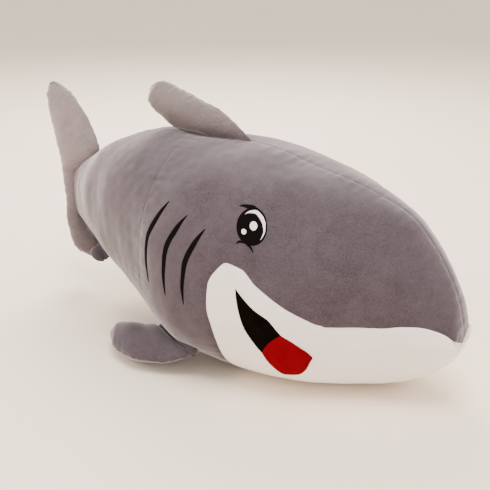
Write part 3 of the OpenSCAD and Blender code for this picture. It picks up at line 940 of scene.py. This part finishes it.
TAIL = (
    (0.00, (-480, 0, 82), (-516, 0, 86), 0),
    (0.05, (-454, 0, 98), (-538, 0, 104), 0.6 * TAIL_BULGE),
    (0.12, (-450, 0, 132), (-549, 0, 138), 0.9 * TAIL_BULGE),
    (0.20, (-494, 0, 166), (-553, 0, 170), 0.8 * TAIL_BULGE),
    (0.27, (TAIL_FRONT, 0, 200), (-556, 0, 200), 0.6 * TAIL_BULGE),
    (0.51, (TAIL_FRONT, 0, 326), (-562, 0, 322), 0.6 * TAIL_BULGE),
    (0.54, (-488, 0, body_top(-488) - TAIL_SUNK), (-564, 0, 340), 0.7 * TAIL_BULGE),
    (0.60, (-464, 0, body_top(-464) - TAIL_SUNK), (-570, 0, 368), 0.9 * TAIL_BULGE),
    (0.68, (-420, 0, body_top(-420)), (-579, 0, 404), TAIL_BULGE),
    (0.82, (-450, 0, 466), (-593, 0, 460), 0.9 * TAIL_BULGE),
    (0.94, (-508, 0, 530), (-600, 0, 524), 0.65 * TAIL_BULGE),
    (1.00, (-550, 0, 559), (-597, 0, 552), 0),
)
SWELL_POWER = 0.6
FIN_SEAM_WIDTH = 7 * MM
FIN_SEAM_DEPTH = 1.6 * MM
FIN_PUCKER_HEIGHT = 1.1 * MM
FIN_PUCKER_WAVES = (12 * MM, 34 * MM)
FIN_PUCKER_REACH = 16 * MM
FIN_LUMP_HEIGHT = 1.3 * MM
FIN_LUMP_WAVES = (0.05, 0.12)
# Past this place a fin narrows to a round tip, down to this share of its width
TIP_START = 0.93
TIP_SHARE = 0.08


def fin_row(rows, t):
    """Front edge, rear edge and half thickness at places t, in metres."""
    places = [r[0] for r in rows]
    front, rear = (np.stack([smooth(places, [r[k][i] for r in rows], t) for i in range(3)], -1) * MM
                   for k in (1, 2))
    past = np.clip((t - TIP_START) / (1 - TIP_START), 0, 1)
    share = np.maximum(TIP_SHARE, np.sqrt(1 - past**2))[:, None]
    middle = (front + rear) / 2
    thick = smooth(places, [r[3] for r in rows], t) * MM
    return mix(middle, front, share), mix(middle, rear, share), thick


def fin_out(rows, t):
    """The direction that the fin's upper or right face looks in."""
    front, rear, _ = fin_row(rows, t)
    ahead, behind = fin_row(rows, np.minimum(1, t + 0.02)), fin_row(rows, np.maximum(0, t - 0.02))
    return unit(np.cross(rear - front, ahead[0] + ahead[1] - behind[0] - behind[1]))


def fin_surface(rows, side, t, s, inset=0.0):
    """One face of a fin as a grid of points, without unevenness."""
    front, rear, thick = (v[:, None] if v.ndim == 1 else v[:, None, :] for v in fin_row(rows, t))
    chord = unit(rear - front)
    front, rear = front + chord * inset, rear - chord * inset
    swell = np.maximum(0, thick - inset) * ((4 * s * (1 - s)) ** SWELL_POWER)[None, :]
    out = side * fin_out(rows, t)[:, None, :]
    return mix(front, rear, s[None, :, None]) + out * swell[..., None], out, chord


def fin_face(rows, side, t, s, seed):
    """One face of a fin, with the groove and the puckers of its edge seam."""
    points, out, chord = fin_surface(rows, side, t, s)
    normal = unit(np.cross(np.gradient(points, axis=0), np.gradient(points, axis=1)))
    normal *= np.sign((normal * out).sum(-1).mean())
    normal[:, 0], normal[:, -1] = -chord[:, 0], chord[:, 0]
    middle = points[:, len(s) // 2]
    normal[-1] = unit(middle[-1] - middle[-2])
    steps = np.linalg.norm(np.diff(points, axis=1), axis=-1)
    across = np.concatenate([np.zeros((len(t), 1)), np.cumsum(steps, axis=1)], 1)
    away = np.minimum(across, across[:, -1:] - across)
    away = np.minimum(away, np.linalg.norm(points - middle[-1], axis=-1))
    edges = points[:, [0, -1]]
    steps = np.linalg.norm(np.diff(edges, axis=0), axis=-1)
    run = np.concatenate([[[0, 0]], np.cumsum(steps, axis=0)])
    nearest = (s >= 0.5).astype(int)
    gather = ripple((run[:, nearest] + 0.9 * nearest)[..., None], *FIN_PUCKER_WAVES, 21 + seed)
    rise = -FIN_SEAM_DEPTH * np.clip(1 - away / FIN_SEAM_WIDTH, 0, 1) ** 2
    rise += FIN_PUCKER_HEIGHT * gather * np.exp(-away / FIN_PUCKER_REACH) * ease(away / (5 * MM))
    rise += FIN_LUMP_HEIGHT * ripple(points, *FIN_LUMP_WAVES, 31 + seed) * ease(away / (9 * MM))
    fade = ease(fin_row(rows, t)[2] / (5 * MM))[:, None]
    return points + normal * (rise * fade)[..., None]


def rounded(count):
    """Shares from 0 to 1, closer together at both ends."""
    return (1 - np.cos(np.linspace(0, math.pi, count))) / 2


FIN_HEM = ((1.5 * MM, 0.6 * MM), (4.0 * MM, 1.0 * MM))
SKIRT_STEPS = 5
SKIRT_TUCK = 4 * MM
SKIRT_FLARE = 0.03
SKIRT_BOW = 1.5 * MM


def skirt(root, tree):
    """Rows that carry a fin's root edge down to the body's skin, from the lowest up."""
    feet = []
    for p in root:
        spot, normal, _, _ = tree.find_nearest(Vector(p))
        feet.append(np.array(spot) - np.array(normal) * SKIRT_TUCK)
    feet = np.array(feet)
    feet = feet + (feet - feet.mean(0)) * SKIRT_FLARE
    shares = np.linspace(0, 1, SKIRT_STEPS + 1)[:-1]
    bow = np.sin(shares * math.pi)[:, None, None] * SKIRT_BOW * unit(root - root.mean(0))[None]
    return mix(feet[None], root[None], shares[:, None, None]) + bow


# Points along a fin before its tip, along its tip, and across it, and where the tip starts
FIN_ROWS, TIP_ROWS, FIN_COLUMNS = 56, 24, 64
TIP_ROWS_START = 0.9


def fin_panel(rows, side, flip, tree, seed):
    """Points and cells of one panel of a fin: its face, its skirt and its turned-in edges."""
    closing = np.sin(np.linspace(0, math.pi / 2, TIP_ROWS))[1:]
    t = np.concatenate([np.linspace(0, TIP_ROWS_START, FIN_ROWS), mix(TIP_ROWS_START, 1, closing)])
    s = rounded(FIN_COLUMNS)
    face = fin_face(rows, side, t, s, seed)
    mirror = np.array((1, flip, 1))
    face = face * mirror
    out = fin_out(rows, np.array([0.5]))[0] * side * mirror
    if tree is not None:
        face = np.concatenate([skirt(face[0], tree), face])
    points = face.reshape(-1, 3)
    cells = facing(points, grid_cells(*face.shape[:2]), np.broadcast_to(out, points.shape))
    points, cells = welded(points, cells)
    return hemmed(points, cells, FIN_HEM)


def tree_of(objects):
    """A search tree over the body's skin."""
    points, faces = [], []
    for obj in objects:
        first = len(points)
        points += [v.co.copy() for v in obj.data.vertices]
        faces += [[first + i for i in p.vertices] for p in obj.data.polygons]
    return BVHTree.FromPolygons(points, faces)


# How far a fin's stuffing stays inside its cloth, and the height of its tufts
FILLING_INSET = 7 * MM
TUFT_HEIGHT = 1.2 * MM


def closed_fin(name, rows, flip, first, last):
    """The stuffing of a fin: a closed lens inside its panels."""
    t, s = np.linspace(first, last, 24), rounded(18)
    upper = fin_surface(rows, 1, t, s, FILLING_INSET)[0]
    lower = fin_surface(rows, -1, t, s, FILLING_INSET)[0]
    ring = np.concatenate([upper, lower[:, -2:0:-1]], 1) * np.array((1, flip, 1))
    ring = ring + TUFT_HEIGHT * ripple(ring, 0.02, 0.05, 41)[..., None] * np.array((0, 0, 1))
    return lumped(name, ring)


def lumped(name, rings):
    """A closed lump of stuffing through rings of points."""
    rows, columns = rings.shape[:2]
    points = np.concatenate([rings.reshape(-1, 3), rings[[0, -1]].mean(1)])
    cells = grid_cells(rows, columns, True)
    first = np.arange(columns)
    caps = [np.stack([first, np.roll(first, -1), np.full(columns, rows * columns)], -1)]
    last = first + (rows - 1) * columns
    caps.append(np.stack([np.roll(last, -1), last, np.full(columns, rows * columns + 1)], -1))
    faces = cells.tolist() + np.concatenate(caps).tolist()
    return make_object(name, points, faces, STUFFING)


def fin(rows, flip, body, faces, hinge, reach, tree, seed, cloth):
    """A fin's two panels, named in faces with the upper or right one first. With a tree of the
    body's skin they get skirts and stay where they are built; without one they ride on body."""
    mirror = np.array((1, flip, 1))
    hinge, reach = np.array(hinge) * mirror, np.array(reach) * mirror
    for k, (face, side) in enumerate(zip(faces, (1, -1))):
        points, cells = fin_panel(rows, side, flip, tree, seed + k)
        name = face.replace("panel", "skin") if "panel" in face else face + "_skin"
        obj = make_object(name, points, cells, cloth)
        if tree is None:
            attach(obj, body)
        else:
            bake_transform(obj)
        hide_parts(face)


def fins(tree):
    """Every fin with its two panels and its filling."""
    fin(DORSAL, 1, "dorsal_fin", ("dorsal_panel_right", "dorsal_panel_left"),
        (-0.032, 0, 0.490), (-0.004, 0, 0.024), tree, 1, DORSAL_GREY_PAINTED_LIGHT)
    fin(TAIL, 1, "tail_fin", ("tail_panel_right", "tail_panel_left"),
        (-0.506, 0, 0.26), (-0.012, 0, 0), None, 5, TAIL_GREY_PAINTED_LIGHT)
    fillings = [("dorsal", DORSAL, 1, "dorsal_fin", 0.14, 0.90), ("tail", TAIL, 1, "tail_fin", 0.05, 0.96)]
    for side, name in SIDES.items():
        pectoral, pelvic = "pectoral_fin_" + name, "pelvic_fin_" + name
        fin(PECTORAL, -side, pectoral, ("pectoral_top_" + name, "pectoral_bottom_" + name),
            (0.006, -0.219, 0.056), (-0.006, -0.016, -0.002), tree, 11 + side, GREY)
        fin(PELVIC, -side, pelvic, ("pelvic_top_" + name, "pelvic_bottom_" + name),
            (-0.328, -0.102, 0.165), (-0.008, -0.005, -0.007), tree, 17 + side, GREY)
        fillings.append(("pectoral_" + name, PECTORAL, -side, pectoral, 0.27, 0.90))
        fillings.append(("pelvic_" + name, PELVIC, -side, pelvic, 0.1, 0.8))
    for label, rows, flip, body, first, last in fillings:
        obj = closed_fin(label + "_stuffing", rows, flip, first, last)
        kind, *side = label.split("_")
        fitted(obj, "_".join([kind, "filling"] + side), body)


# The two ends of a pectoral fin's root seam in side view
PECTORAL_ROOT = ((80, 62), (-68, 62))
ROOT_THREAD = 0.5 * MM
ROOT_SUNK = 0.2 * MM


def root_ring(a, b, spread, count=120):
    """An oval of spots on the body round a fin's root, between two spots."""
    turn = np.linspace(0, 2 * math.pi, count)
    centre, half = (a + b) / 2, (b - a) / 2
    return np.stack([
        centre[0] + half[0] * np.cos(turn),
        centre[1] + half[1] * np.cos(turn) + spread * np.sin(turn),
    ], -1)


def root_seams():
    """The stitching that closes the dorsal, pectoral and tail fins on to the body."""
    dorsal = (np.array((place_at(x), 0)) for x in (DORSAL_FRONT, DORSAL_REAR))
    rings = [("dorsal_root_seam", *dorsal, 2.5, 1)]
    for side, name in SIDES.items():
        rings.append(("pectoral_root_seam_" + name, *side_spots(PECTORAL_ROOT), 3.0, side))
    for node, a, b, spread, side in rings:
        spots = mirrored(root_ring(a, b, spread), side)
        line = (skin(spots, -ROOT_SUNK), outward(spots[:, 0], spots[:, 1]))
        fitted(stitches(node + "_stitches", [line], ROOT_THREAD, GREY_SEWING), node)
    turn = np.linspace(0, 2 * math.pi, 90)
    top, bottom, half = (float(v) for v in section(TAIL_ROOT))
    tall = (top - bottom) / 2
    ring = np.stack([
        np.full(len(turn), NOSE_X - BODY_LENGTH * TAIL_ROOT**2),
        half * np.cos(turn), (top + bottom) / 2 + tall * np.sin(turn),
    ], -1) * MM
    out = np.stack([np.zeros(len(turn)), np.cos(turn) / half, np.sin(turn) / tall], -1)
    obj = stitches("tail_root_seam_stitches", [(ring, unit(out))], ROOT_THREAD, GREY_SEWING)
    fitted(obj, "tail_root_seam")


# The collar starts at this place on the body and ends this far inside the tail fin, as an
# oval of this half width, half height and middle height
COLLAR_PLACE = TAIL_ROOT - 0.006
COLLAR_DEPTH = 14
COLLAR_END = (9.0, 62, 264)


def tail_collar():
    """The short sleeve between the body's rear end and the tail fin."""
    top, bottom, half = (float(v) for v in section(COLLAR_PLACE))
    x_body = NOSE_X - BODY_LENGTH * COLLAR_PLACE**2
    turn = np.linspace(0, 2 * math.pi, 96, endpoint=False)
    c, s = np.cos(turn), np.sin(turn)
    rings = []
    for share in np.linspace(0, 1, 14):
        x = mix(x_body, TAIL_FRONT - COLLAR_DEPTH, share)
        wide = mix(half - 1.5, COLLAR_END[0], ease(share)) - 2.0 * math.sin(math.pi * share)
        tall = mix((top - bottom) / 2 - 2, COLLAR_END[1], ease(share))
        middle = mix((top + bottom) / 2, COLLAR_END[2], share)
        rings.append(np.stack([np.full(len(turn), x), wide * np.sign(c) * np.abs(c) ** 0.8,
                               middle + tall * s], -1) * MM)
    rings = np.array(rings)
    points = rings.reshape(-1, 3)
    gather = 0.6 * MM * ripple((turn * 0.06)[:, None], 12 * MM, 30 * MM, 77)
    points = points + np.tile(gather, len(rings))[:, None] * unit(points - points.mean(0)) * (0, 1, 0)
    obj = make_object("tail_collar", points, grid_cells(len(rings), len(turn), True)[:, ::-1], GREY)
    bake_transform(obj)


# How deep under the skin the body's stuffing lies, and the places where it starts and ends
STUFFING_DEPTH = 14 * MM
STUFFING_SPAN = (0.06, 0.975)


def body_stuffing():
    """The fibre inside the body, kept well inside the skin."""
    place, angle = np.meshgrid(np.linspace(*STUFFING_SPAN, 60),
                               np.linspace(0, 360, 72, endpoint=False), indexing="ij")
    base = plain_point(place, angle)
    depth = STUFFING_DEPTH + 1.5 * MM * ripple(base, 0.03, 0.08, 51)
    rings = base - outward(place, angle) * depth[..., None]
    fitted(lumped("body_stuffing", rings), "body_filling")


# --- Room ---
LIT_POINT = (0.05, 0, 0.25)
# Each light's name, place, width, power and colour
LIGHTS = (
    ("window", (-1.6, 2.0, 2.6), 2.0, 195, (1.0, 0.90, 0.82)),
    ("overhead", (0.6, -0.6, 2.8), 1.6, 80, (1.0, 0.94, 0.90)),
    ("left", (-2.6, -1.7, 1.7), 1.8, 64, (1.0, 0.90, 0.84)),
    ("right", (2.6, 0.9, 1.9), 1.8, 30, (1.0, 0.94, 0.94)),
    ("front", (2.0, -2.6, 1.4), 2.0, 12, (1.0, 0.98, 0.97)),
)
CAMERA_PLACE = (1.151, -1.544, 0.976)
CAMERA_DIP = 21.375
CAMERA_TURN = 35.571
CAMERA_LENS = 62.96
FLOOR_HALF = 18
WORLD_COLOUR = (1.0, 0.915, 0.85, 1)
WORLD_STRENGTH = 1.33


def area_light(name, place, size, power, colour):
    lamp = bpy.data.lights.new(name, "AREA")
    lamp.shape = "DISK"
    lamp.size = size
    lamp.energy = power
    lamp.color = colour
    obj = bpy.data.objects.new(name, lamp)
    obj.location = place
    obj.rotation_euler = (Vector(LIT_POINT) - Vector(place)).to_track_quat("-Z", "Y").to_euler()
    bpy.context.scene.collection.objects.link(obj)


def room():
    """A plain pale floor, soft light and the camera."""
    n = Nodes("floor_paint")
    cloud = n.noise(1.4, 2, 0.5)
    n.bump(n.noise(140, 3, 0.6), 0.1, 0.5 * MM)
    paint = n.finish(n.blend(cloud, (0.92, 0.79, 0.64, 1), (0.96, 0.86, 0.74, 1)), Roughness=0.8,
                     Specular_IOR_Level=0.2)
    corners = [(x * FLOOR_HALF, y * FLOOR_HALF, 0) for x, y in ((-1, -1), (1, -1), (1, 1), (-1, 1))]
    floor = make_object("floor", corners, [(0, 1, 2, 3)], paint)
    floor.location = (0, 0, -0.0005)
    world = bpy.data.worlds.new("soft_room")
    world.use_nodes = True
    sky = world.node_tree.nodes["Background"]
    sky.inputs["Color"].default_value = WORLD_COLOUR
    sky.inputs["Strength"].default_value = WORLD_STRENGTH
    bpy.context.scene.world = world
    for light in LIGHTS:
        area_light(*light)
    lens = bpy.data.cameras.new("camera")
    lens.lens = CAMERA_LENS
    lens.sensor_width = 36
    camera = bpy.data.objects.new("camera", lens)
    camera.location = CAMERA_PLACE
    camera.rotation_euler = (math.radians(90 - CAMERA_DIP), 0, math.radians(CAMERA_TURN))
    bpy.context.scene.collection.objects.link(camera)
    bpy.context.scene.camera = camera


# --- The shark ---
skins = body_panels()
body_seams()
for hand in SIDES:
    mouth(hand)
    eye(hand)
    for slit in GILLS:
        gill(slit, hand)
fins(tree_of(skins))
tail_collar()
root_seams()
body_stuffing()
room()
